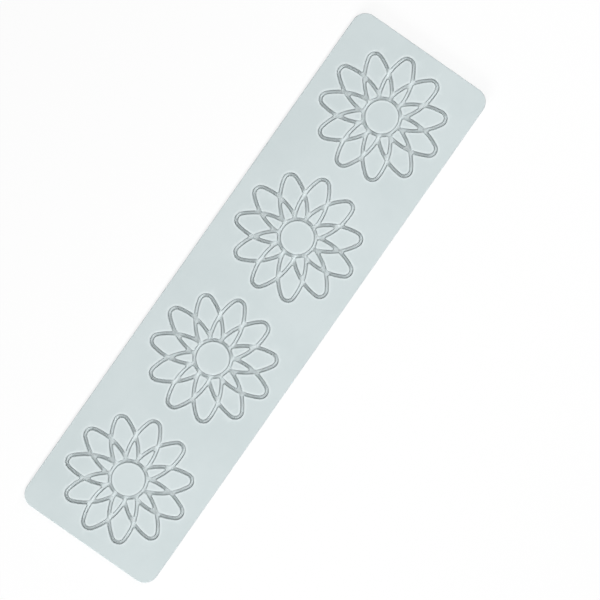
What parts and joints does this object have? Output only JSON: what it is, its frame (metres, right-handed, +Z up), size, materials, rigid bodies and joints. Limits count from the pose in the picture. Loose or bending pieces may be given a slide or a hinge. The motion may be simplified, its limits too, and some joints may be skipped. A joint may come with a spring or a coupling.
{
  "type": "chocolate mould",
  "caption": "Flat silicone mat mould with rounded corners and a row of flower-shaped groove cavities, for casting lace biscuits, chocolate or sugar decorations.",
  "frame": {"origin": "middle of the flat underside", "axes": "+X along the row of flowers, +Y across the mat, +Z up out of the open cavities"},
  "size_m": [0.3026, 0.08, 0.005],
  "materials": {
    "silicone": "matte pale blue-grey food silicone, slightly translucent"
  },
  "bodies": {
    "root": {"mould_mat": "silicone"}
  },
  "joints": []
}
